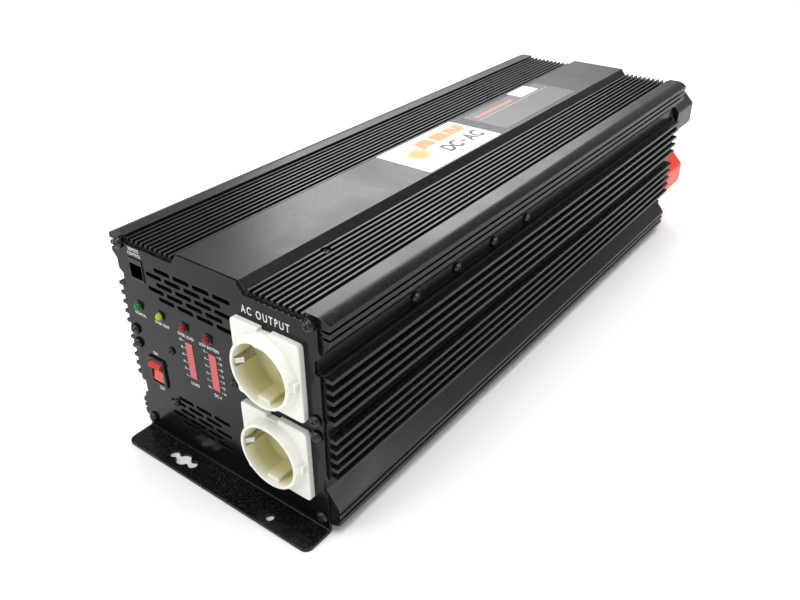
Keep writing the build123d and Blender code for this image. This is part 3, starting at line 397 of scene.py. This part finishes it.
for lens, colour in {"lamp_green": (0.004, 0.16, 0.025), "lamp_yellow": (0.42, 0.5, 0.01),
                     "lamp_red": (0.24, 0.004, 0.004)}.items():
    finishes[lens] = finish_material(
        lens, colour, 0.08, grain=500.0, relief=0.01, tone=1.3, dust=0.05, smudge=0.05,
        Specular_IOR_Level=0.3)


def segment_paint(tree, base):
    """Ten segments up each bar window, with dark gaps between them."""
    segments, gap_share = 10, 0.2
    place = add_node(tree, "ShaderNodeTexCoord")
    parts = add_node(tree, "ShaderNodeSeparateXYZ")
    tree.links.new(place.outputs["Object"], parts.inputs["Vector"])
    low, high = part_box("bar_windows")
    pitch = (high.z - low.z) / segments
    step = maths(tree, "DIVIDE", maths(tree, "SUBTRACT", parts.outputs["Z"], low.z), pitch)
    gap = maths(tree, "LESS_THAN", maths(tree, "FRACT", step), gap_share)
    return mix_colour(tree, maths(tree, "MULTIPLY", gap, 0.4), base, GAP_RED)


finishes["window_red"] = finish_material(
    "window_red", (0.52, 0.01, 0.022), 0.12, grain=600.0, relief=0.01, tone=1.2, dust=0.05,
    paint=segment_paint, Coat_Weight=0.5, Coat_Roughness=0.05)


def make_block_group():
    """Mask of one printed block, in object coordinates across X and Y."""
    group, start, end = new_group(
        "print_block",
        [("Middle", "NodeSocketVector", (0, 0, 0)), ("Half size", "NodeSocketVector", (0.01, 0.01, 0.01)),
         ("Slant", "NodeSocketFloat", 0.0)], [("Mask", "NodeSocketFloat")])
    place = add_node(group, "ShaderNodeTexCoord")
    shift = add_node(group, "ShaderNodeVectorMath", operation="SUBTRACT")
    parts = add_node(group, "ShaderNodeSeparateXYZ")
    size = add_node(group, "ShaderNodeSeparateXYZ")
    link = group.links.new
    link(place.outputs["Object"], shift.inputs[0])
    link(start.outputs["Middle"], shift.inputs[1])
    link(shift.outputs["Vector"], parts.inputs["Vector"])
    link(start.outputs["Half size"], size.inputs["Vector"])
    leaning = maths(group, "MULTIPLY", parts.outputs["X"], start.outputs["Slant"])
    along = maths(group, "ABSOLUTE", maths(group, "SUBTRACT", parts.outputs["Y"], leaning))
    across = maths(group, "ABSOLUTE", parts.outputs["X"])
    inside = maths(group, "MULTIPLY", maths(group, "LESS_THAN", across, size.outputs["X"]),
                   maths(group, "LESS_THAN", along, size.outputs["Y"]))
    link(inside, end.inputs["Mask"])
    return group


BLOCK = make_block_group()

BAND_ORANGE = (0.85, 0.2, 0.015, 1.0)
BURST_ORANGE = (0.9, 0.3, 0.02, 1.0)
BLACK_INK = (0.015, 0.014, 0.013)
ROW_GREY = (0.55, 0.55, 0.55, 1.0)
HEADING_BROWN = (0.55, 0.1, 0.015, 1.0)
FIELD_RED = (0.1, 0.012, 0.008, 1.0)
RULE_GREY = (0.35, 0.35, 0.35, 1.0)


def name_label_paint(tree, base):
    """A streaked orange band beside a burst of orange dots, on white."""
    low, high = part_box("name_label")
    size = high - low
    place = add_node(tree, "ShaderNodeTexCoord")
    parts = add_node(tree, "ShaderNodeSeparateXYZ")
    dots = add_node(tree, "ShaderNodeTexVoronoi", {"Scale": 620.0, "Randomness": 0.1})
    streaks = add_node(tree, "ShaderNodeTexNoise", {"Scale": 60.0, "Detail": 3.0})
    lean = add_node(tree, "ShaderNodeMapping")
    lean.inputs["Scale"].default_value = (0.5, 4.0, 1.0)
    lean.inputs["Rotation"].default_value = (0.0, 0.0, math.radians(14))
    link = tree.links.new
    link(place.outputs["Object"], parts.inputs["Vector"])
    link(place.outputs["Object"], dots.inputs["Vector"])
    link(place.outputs["Object"], lean.inputs["Vector"])
    link(lean.outputs["Vector"], streaks.inputs["Vector"])
    run = maths(tree, "DIVIDE", maths(tree, "SUBTRACT", parts.outputs["Y"], low.y), size.y)
    rise = maths(tree, "DIVIDE", maths(tree, "SUBTRACT", parts.outputs["X"], low.x), size.x)
    off_run = maths(tree, "MULTIPLY", maths(tree, "SUBTRACT", run, 0.24), 1.9)
    off_rise = maths(tree, "SUBTRACT", rise, 0.46)
    reach = maths(tree, "SQRT", maths(tree, "ADD", maths(tree, "POWER", off_run, 2.0),
                                      maths(tree, "POWER", off_rise, 2.0)))
    burst = maths(tree, "LESS_THAN", dots.outputs["Distance"],
                  maths(tree, "SUBTRACT", 0.95, maths(tree, "MULTIPLY", reach, 2.6)))
    out = mix_colour(tree, burst, base, BURST_ORANGE)
    band = add_node(tree, "ShaderNodeGroup", node_tree=BLOCK)
    band.inputs["Middle"].default_value = (low.x + 0.27 * size.x, low.y + 0.66 * size.y, 0.0)
    band.inputs["Half size"].default_value = (0.13 * size.x, 0.3 * size.y, 1.0)
    band.inputs["Slant"].default_value = -0.3
    cut = maths(tree, "GREATER_THAN", streaks.outputs["Fac"], 0.4)
    return mix_colour(tree, maths(tree, "MULTIPLY", band.outputs["Mask"], cut), out, BAND_ORANGE)


def rating_paint(tree, base):
    """Rows of small marks that run back beside a heading line, too fine to read."""
    low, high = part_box("rating_label")
    size = high - low
    place = add_node(tree, "ShaderNodeTexCoord")
    turned = add_node(tree, "ShaderNodeMapping")
    turned.inputs["Rotation"].default_value = (0.0, 0.0, math.radians(-90))
    words = add_node(tree, "ShaderNodeTexBrick",
                     {"Scale": 62.0, "Mortar Size": 0.16, "Brick Width": 0.62, "Row Height": 0.3,
                      "Color1": (1, 1, 1, 1), "Color2": (0.55, 0.55, 0.55, 1), "Mortar": (0, 0, 0, 1)})
    letters = add_node(tree, "ShaderNodeTexNoise", {"Scale": 2600.0, "Detail": 0.0})
    link = tree.links.new
    link(place.outputs["Object"], turned.inputs["Vector"])
    link(turned.outputs["Vector"], words.inputs["Vector"])
    link(place.outputs["Object"], letters.inputs["Vector"])
    broken = maths(tree, "GREATER_THAN", letters.outputs["Fac"], 0.47)
    marks = maths(tree, "MULTIPLY", words.outputs["Color"], broken)

    def within(across, along, half_across, half_along):
        field = add_node(tree, "ShaderNodeGroup", node_tree=BLOCK)
        field.inputs["Middle"].default_value = (low.x + across * size.x, low.y + along * size.y, 0.0)
        field.inputs["Half size"].default_value = (half_across * size.x, half_along * size.y, 1.0)
        return field.outputs["Mask"]

    rows = maths(tree, "MULTIPLY", marks, within(0.66, 0.5, 0.27, 0.44))
    out = mix_colour(tree, maths(tree, "MULTIPLY", rows, 0.7), base, ROW_GREY)
    heading = maths(tree, "MULTIPLY", broken, within(0.2, 0.3, 0.055, 0.24))
    out = mix_colour(tree, heading, out, HEADING_BROWN)
    out = mix_colour(tree, within(0.16, 0.72, 0.11, 0.12), out, FIELD_RED)
    return mix_colour(tree, within(0.34, 0.5, 0.008, 0.46), out, RULE_GREY)


finishes["white_label"] = finish_material(
    "white_label", (0.82, 0.82, 0.8), 0.4, grain=900.0, relief=0.01, tone=1.05, dust=0.1,
    paint=name_label_paint)
finishes["black_label"] = finish_material(
    "black_label", (0.012, 0.012, 0.013), 0.3, grain=900.0, relief=0.01, dust=0.2, paint=rating_paint)
finishes["white_print"] = finish_material(
    "white_print", (0.78, 0.78, 0.77), 0.5, grain=1200.0, relief=0.01, tone=1.05, smudge=0.02)
finishes["black_print"] = finish_material(
    "black_print", BLACK_INK, 0.45, grain=900.0, relief=0.01, smudge=0.05)
finishes["red_print"] = finish_material(
    "red_print", (0.75, 0.02, 0.05), 0.45, grain=900.0, relief=0.01, tone=1.1, smudge=0.05)
finishes["plain_white"] = finish_material(
    "plain_white", (0.85, 0.85, 0.83), 0.4, grain=900.0, relief=0.01, tone=1.04, smudge=0.05)

for entry in frame["record"]["subparts"]:
    mesh = nodes[entry["node"]].data
    mesh.materials.clear()
    mesh.materials.append(finishes[entry["material_slot"]])


# ---------------------------------------------------------------- case, sockets and plastic parts

def case_parts():
    """Rounded copies of the case, sockets, switch, jack, caps and fans."""
    still = (
        ("top_shell", 0.28, "black_anodised", "top_shell_extrusion", 2),
        ("bottom_shell", 0.28, "black_anodised", "bottom_shell_extrusion", 2),
        ("front_panel", 0.25, "black_panel", "front_panel_plate", 2),
        ("rear_panel", 0.25, "black_panel", "rear_panel_plate", 2),
        ("upper_socket", 0.35, "ivory_plastic", "upper_socket_moulding", 3),
        ("lower_socket", 0.35, "ivory_plastic", "lower_socket_moulding", 3),
        ("switch_body", 0.25, "black_plastic", "switch_surround", 2),
        ("remote_jack", 0.15, "black_plastic", "jack_block", 2))
    for node, width, slot, name, segments in still:
        softened(node, width * MM, slot, name, segments=segments)
    softened("switch_rocker", 0.3 * MM, "rocker_red", "rocker_key", body="switch_rocker_body", segments=3)
    for name, slot in (("positive", "red_cap"), ("negative", "black_cap")):
        softened(name + "_terminal_cap", 0.9 * MM, slot, name + "_knob", body=name + "_cap",
                 segments=4, angle=25)
        softened(name + "_terminal_base", 0.4 * MM, "black_plastic", name + "_stud_base")
    for name in ("upper", "lower"):
        softened(name + "_fan_frame", 0.3 * MM, "black_plastic", name + "_fan_housing")
        softened(name + "_fan_rotor", 0.25 * MM, "black_plastic", name + "_fan_wheel", body=name + "_rotor")


# ---------------------------------------------------------------- screws

def screw_master(head_radius, head_height, shank_radius, length, cross):
    """A pan-head screw along +Z with a cross recess; the underside of its head is at zero."""
    deselect()
    bpy.ops.mesh.primitive_cylinder_add(vertices=36, radius=head_radius, depth=head_height,
                                        location=(0, 0, head_height / 2))
    screw = active()
    bpy.ops.object.transform_apply(location=True, rotation=True, scale=True)
    select_faces(screw, lambda face: face.normal.z > 0.9)
    bpy.ops.mesh.inset(thickness=head_radius * 0.42)
    bpy.ops.object.mode_set(mode="OBJECT")
    for vertex in screw.data.vertices:
        radius = math.hypot(vertex.co.x, vertex.co.y)
        if vertex.co.z > head_height * 0.9 and radius > head_radius * 0.8:
            vertex.co.z = head_height * 0.52
    select_faces(screw, lambda face: face.normal.z < -0.9)
    bpy.ops.mesh.inset(thickness=head_radius - shank_radius)
    bpy.ops.mesh.extrude_region_move(TRANSFORM_OT_translate={"value": (0, 0, -length)})
    bpy.ops.object.mode_set(mode="OBJECT")
    rounding = screw.modifiers.new("dome", "BEVEL")
    rounding.width = head_height * 0.16
    rounding.segments = 3
    rounding.limit_method = "ANGLE"
    rounding.angle_limit = math.radians(24)
    bpy.ops.object.modifier_apply(modifier="dome")
    cutters = []
    for turn in (0, 90):
        bpy.ops.mesh.primitive_cube_add(size=1, location=(0, 0, head_height * 0.78))
        blade = active()
        blade.scale = (cross, cross * 0.22, head_height * 0.9)
        blade.rotation_euler.z = math.radians(turn)
        bpy.ops.object.transform_apply(location=True, rotation=True, scale=True)
        select_faces(blade, lambda face: face.normal.z < -0.9)
        bpy.ops.transform.resize(value=(0.35, 0.35, 1))
        bpy.ops.object.mode_set(mode="OBJECT")
        cutters.append(blade)
    for blade in cutters:
        pick(screw)
        cut = screw.modifiers.new("recess", "BOOLEAN")
        cut.operation = "DIFFERENCE"
        cut.solver = "EXACT"
        cut.object = blade
        bpy.ops.object.modifier_apply(modifier="recess")
        bpy.data.objects.remove(blade)
    return screw


def lay_screws(node, master, name, slot):
    """A copy of the screw at each solid of a CAD node; joined, they stand for the node."""
    copies = []
    for low, high in islands(node):
        size = high - low
        middle = (low + high) / 2
        axis = max(range(3), key=lambda i: size[i])
        outward = 1 if axis == 2 or middle[axis] > 0 else -1
        place = middle.copy()
        head_height = HEADS[node][1]
        place[axis] = (high[axis] - head_height) if outward > 0 else (low[axis] + head_height)
        normal = Vector((0, 0, 0))
        normal[axis] = outward
        turned = normal.to_track_quat("Z", "Y").to_matrix().to_4x4()
        copy = master.copy()
        copy.data = master.data.copy()
        bpy.context.scene.collection.objects.link(copy)
        spin = Matrix.Rotation(len(copies) * SCREW_TURN, 4, "Z")
        copy.matrix_world = Matrix.Translation(place) @ turned @ spin
        copies.append(copy)
    pick(*copies)
    bpy.ops.object.transform_apply(location=True, rotation=True, scale=True)
    bpy.ops.object.join()
    joined = settle(active(), name, finishes[slot])
    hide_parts(node)


# How far each screw is turned past the one before it, in radians.
SCREW_TURN = 1.13
# Head radius, head height, shank radius and length of each node's screws.
HEADS = {
    "panel_screws": (3.7 * MM, 2.6 * MM, 1.9 * MM, 10 * MM),
    "side_clamp_screws": (3.7 * MM, 2.3 * MM, 1.9 * MM, 12.1 * MM),
}


def screws():
    for node, (radius, height, shank, length) in HEADS.items():
        master = screw_master(radius, height, shank, length, radius * 1.25)
        lay_screws(node, master, node + "_cross", "black_screw")
        bpy.data.objects.remove(master)


# ---------------------------------------------------------------- fan guards

GUARD_RADIUS = 26 * MM
RING_STEP = 6.4 * MM
RINGS = 4
WIRE_RADIUS = 0.8 * MM
EYELET_RADIUS = 3.2 * MM
EYELET_WIRE = 0.85 * MM
EYELET_INSET = 4.1 * MM
ARM_START = 6.8 * MM
ARM_SHARE = 0.93
ARM_LIFT = 0.85 * MM
EYELET_LIFT = 0.9 * MM


def wire_ring(radius, wire, place, around, along):
    """A closed ring of wire that lies across Y."""
    bpy.ops.mesh.primitive_torus_add(
        major_radius=radius, minor_radius=wire, major_segments=around, minor_segments=along,
        location=place, rotation=(math.radians(90), 0, 0))
    return active()


def guard_arm(start, end, origin):
    """A straight wire from start to end, both measured from origin."""
    bpy.ops.mesh.primitive_cylinder_add(vertices=12, radius=WIRE_RADIUS, depth=(end - start).length,
                                        location=origin + (start + end) / 2)
    arm = active()
    arm.rotation_mode = "QUATERNION"
    arm.rotation_quaternion = (end - start).to_track_quat("Z", "Y")
    return arm


def fan_guards():
    """Round wire guards with eyelets under the fan screws."""
    boxes = sorted(islands("fan_guards"), key=lambda pair: pair[0].z)
    for name, (low, high) in zip(("lower", "upper"), boxes):
        middle = (low + high) / 2
        corner = (high.x - low.x) / 2 - EYELET_INSET
        deselect()
        made = [wire_ring(GUARD_RADIUS - i * RING_STEP, WIRE_RADIUS,
                          (middle.x, high.y - WIRE_RADIUS, middle.z), 72, 10) for i in range(RINGS)]
        for sx in (-1, 1):
            for sz in (-1, 1):
                start = Vector((sx, 0, sz)).normalized() * ARM_START
                end = Vector((sx, 0, sz)) * corner * ARM_SHARE
                made.append(guard_arm(start, end, Vector((middle.x, low.y + ARM_LIFT, middle.z))))
                made.append(wire_ring(
                    EYELET_RADIUS, EYELET_WIRE,
                    (middle.x + sx * corner, low.y + EYELET_LIFT, middle.z + sz * corner), 28, 10))
        pick(*made)
        bpy.ops.object.transform_apply(location=True, rotation=True, scale=True)
        bpy.ops.object.join()
        guard = settle(active(), name + "_wire_guard", finishes["steel"])
        if name == "upper":
            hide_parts("fan_guards")


# ---------------------------------------------------------------- print on the front panel

def legend(words, x, z, height, made, align="CENTER", spacing=1.0, narrow=0.85):
    """One line of generic lettering on the front panel; z is its middle height."""
    deselect()
    bpy.ops.object.text_add(location=(x, front_y - PRINT_LIFT, z), rotation=(math.radians(90), 0, 0))
    line = active()
    line.data.body = words
    line.data.align_x = align
    line.data.align_y = "CENTER"
    line.data.size = height * 1.42
    line.data.space_character = spacing
    line.data.offset = 0.012 * line.data.size
    line.scale.x = narrow
    line.data.extrude = INK_DEPTH
    bpy.ops.object.convert(target="MESH")
    made.append(active())


def tick(x, z, width, height, made):
    """One short line of a bar's scale."""
    deselect()
    bpy.ops.mesh.primitive_cube_add(size=1, location=(x, front_y - PRINT_LIFT, z))
    mark = active()
    mark.scale = (width, 0.04 * MM, height)
    made.append(mark)


def middle_x(pair):
    return (pair[0].x + pair[1].x) / 2


def height_on(pair, share):
    return pair[0].z + (pair[1].z - pair[0].z) * share


def panel_print():
    """The words by the lamps, jack, switch, bars and sockets, and the bars' scales."""
    made = []
    lamp_z = height_on(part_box("green_led"), 0.5)
    for node, words in (("green_led", "NORMAL"), ("yellow_led", "OVER TEMP"), ("red_led", "OVER LOAD"),
                        ("fault_led", "LOW BATTERY")):
        legend(words, middle_x(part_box(node)), lamp_z - 6.3 * MM, SMALL_PRINT, made)
    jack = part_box("remote_jack")
    legend("REMOTE", middle_x(jack), jack[1].z + 5.6 * MM, SMALL_PRINT, made)
    legend("CONTROL", middle_x(jack), jack[1].z + 2.6 * MM, SMALL_PRINT, made)
    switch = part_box("switch_body")
    legend("ON", middle_x(switch), switch[1].z + 3.2 * MM, SWITCH_PRINT, made)
    legend("OFF", middle_x(switch), switch[0].z - 3.2 * MM, SWITCH_PRINT, made)
    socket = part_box("upper_socket")
    legend("AC OUTPUT", middle_x(socket) - 1.2 * MM, socket[1].z + 5.4 * MM, OUTPUT_PRINT, made,
           spacing=1.35, narrow=0.72)
    load_bar, volt_bar = bars = islands("bar_windows")
    for bar, words in zip(bars, ("LOAD", "DC V")):
        legend(words, middle_x(bar), bar[0].z - 4.6 * MM, BAR_PRINT, made)
        for i in range(6):
            tick(bar[0].x - 1.6 * MM, height_on(bar, i / 5), 1.6 * MM, 0.28 * MM, made)
    for bar, numbers in ((load_bar, ("0", "20", "40", "60", "80", "100")),
                         (volt_bar, ("10", "11", "12", "13", "14", "15"))):
        for i, number in enumerate(numbers):
            legend(number, bar[0].x - 2.8 * MM, height_on(bar, i / 5), SCALE_PRINT, made, align="RIGHT")
    for i in range(7):
        z = height_on(volt_bar, i / 6)
        tick(volt_bar[1].x + 1.6 * MM, z, 1.6 * MM, 0.28 * MM, made)
        legend(str(20 + 2 * i), volt_bar[1].x + 2.8 * MM, z, SCALE_PRINT, made, align="LEFT")
    pick(*made)
    bpy.ops.object.transform_apply(location=True, rotation=True, scale=True)
    bpy.ops.object.join()
    settle(active(), "panel_print", finishes["white_print"])


# ---------------------------------------------------------------- labels

def rounded_label(name, low, high, thickness, radius, material):
    """A flat label from low to high with rounded corners, lying at low's height."""
    deselect()
    middle = (low + high) / 2
    bpy.ops.mesh.primitive_cube_add(size=1, location=(middle.x, middle.y, low.z + thickness / 2))
    label = active()
    label.scale = (high.x - low.x, high.y - low.y, thickness)
    bpy.ops.object.transform_apply(location=True, rotation=True, scale=True)
    bpy.ops.object.mode_set(mode="EDIT")
    bpy.ops.mesh.select_mode(type="EDGE")
    bpy.ops.mesh.select_all(action="DESELECT")
    bpy.ops.object.mode_set(mode="OBJECT")
    for edge in label.data.edges:
        a, b = (label.data.vertices[i].co for i in edge.vertices)
        edge.select = abs(a.z - b.z) > thickness / 2
    bpy.ops.object.mode_set(mode="EDIT")
    bpy.ops.mesh.bevel(offset=radius, segments=6)
    bpy.ops.object.mode_set(mode="OBJECT")
    return settle(label, name, material)


def labels():
    """The name label with its print and dash, the rating label, and a small blank sticker."""
    low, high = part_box("name_label")
    label = rounded_label("name_plate", low, high, LABEL_THICKNESS, LABEL_CORNER,
                          finishes["white_label"])
    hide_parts("name_label")
    made = []
    size = high - low
    for words, along in (("DC", 0.54), ("AC", 0.84)):
        deselect()
        bpy.ops.object.text_add(location=(low.x + 0.67 * size.x, low.y + along * size.y, low.z + 0.13 * MM),
                                rotation=(0, 0, math.radians(90)))
        line = active()
        line.data.body = words
        line.data.align_x = "CENTER"
        line.data.align_y = "CENTER"
        line.data.size = 17 * MM
        line.data.offset = 0.0007
        line.data.extrude = INK_DEPTH
        line.data.shear = 0.15
        line.scale = (0.78, 1.0, 1.0)
        bpy.ops.object.convert(target="MESH")
        made.append(active())
    pick(*made)
    bpy.ops.object.transform_apply(location=True, rotation=True, scale=True)
    bpy.ops.object.join()
    settle(active(), "name_plate_print", finishes["black_print"])
    deselect()
    bpy.ops.mesh.primitive_cylinder_add(
        vertices=4, radius=4.6 * MM, depth=0.03 * MM,
        location=(low.x + 0.67 * size.x, low.y + 0.69 * size.y, low.z + 0.13 * MM))
    dash = active()
    dash.scale = (0.35, 1.0, 1.0)
    dash.rotation_euler.z = math.radians(14)
    settle(dash, "name_plate_dash", finishes["red_print"])
    low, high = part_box("rating_label")
    label = rounded_label("rating_plate", low, high, LABEL_THICKNESS, LABEL_CORNER,
                          finishes["black_label"])
    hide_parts("rating_label")
    corner = Vector((low.x - 3.5 * MM, high.y - 43 * MM, low.z))
    far = Vector((low.x + 11 * MM, high.y - 13.5 * MM, low.z))
    rounded_label("small_sticker", corner, far, 0.18 * MM, 0.8 * MM, finishes["plain_white"])


# ---------------------------------------------------------------- camera, floor and light

def camera():
    """Looks down on the front and the right side."""
    right = Vector((0.80263, 0.59647, -0.00297))
    down = Vector((0.30973, -0.42103, -0.85253))
    ahead = Vector((-0.50976, 0.68334, -0.52267))
    data = bpy.data.cameras.new("view")
    data.sensor_width = 36.0
    data.lens = 36.06
    data.clip_start = 0.01
    data.clip_end = 50.0
    eye = bpy.data.objects.new("view", data)
    bpy.context.scene.collection.objects.link(eye)
    turn = Matrix((right, -down, -ahead)).transposed()
    eye.matrix_world = Matrix.Translation((0.3081, -0.4848, 0.3590)) @ turn.to_4x4()
    bpy.context.scene.camera = eye


def soft_box(name, place, aim, width, height, power):
    data = bpy.data.lights.new(name, "AREA")
    data.shape = "RECTANGLE"
    data.size = width
    data.size_y = height
    data.energy = power
    lamp = bpy.data.objects.new(name, data)
    bpy.context.scene.collection.objects.link(lamp)
    lamp.location = place
    lamp.rotation_euler = (Vector(aim) - Vector(place)).to_track_quat("-Z", "Y").to_euler()


def studio():
    """A pale floor, an even sky and four soft boxes."""
    deselect()
    bpy.ops.mesh.primitive_plane_add(size=12, location=(0, 0, -0.0002))
    floor = active()
    floor.name = "studio_floor"
    paper = bpy.data.materials.new("studio_floor")
    paper.use_nodes = True
    surface = paper.node_tree.nodes["Principled BSDF"]
    surface.inputs["Base Color"].default_value = (0.93, 0.93, 0.93, 1)
    surface.inputs["Roughness"].default_value = 0.7
    floor.data.materials.append(paper)
    world = bpy.data.worlds.new("studio")
    world.use_nodes = True
    sky = world.node_tree.nodes["Background"]
    sky.inputs["Color"].default_value = (1.0, 1.0, 1.0, 1.0)
    sky.inputs["Strength"].default_value = 0.5
    bpy.context.scene.world = world
    soft_box("back_light", (-1.3, 1.9, 1.6), (0, 0, 0.1), 1.4, 1.0, 34)
    soft_box("top_light", (0.2, -0.1, 2.0), (0, 0, 0.1), 1.5, 1.5, 34)
    soft_box("side_light", (1.9, 0.9, 0.7), (0, 0, 0.08), 0.5, 1.2, 12)
    soft_box("front_light", (-0.7, -1.7, 1.0), (0, -0.2, 0.08), 0.9, 0.7, 9)
    bpy.context.scene.view_settings.view_transform = "Standard"


case_parts()
screws()
fan_guards()
panel_print()
labels()
camera()
studio()
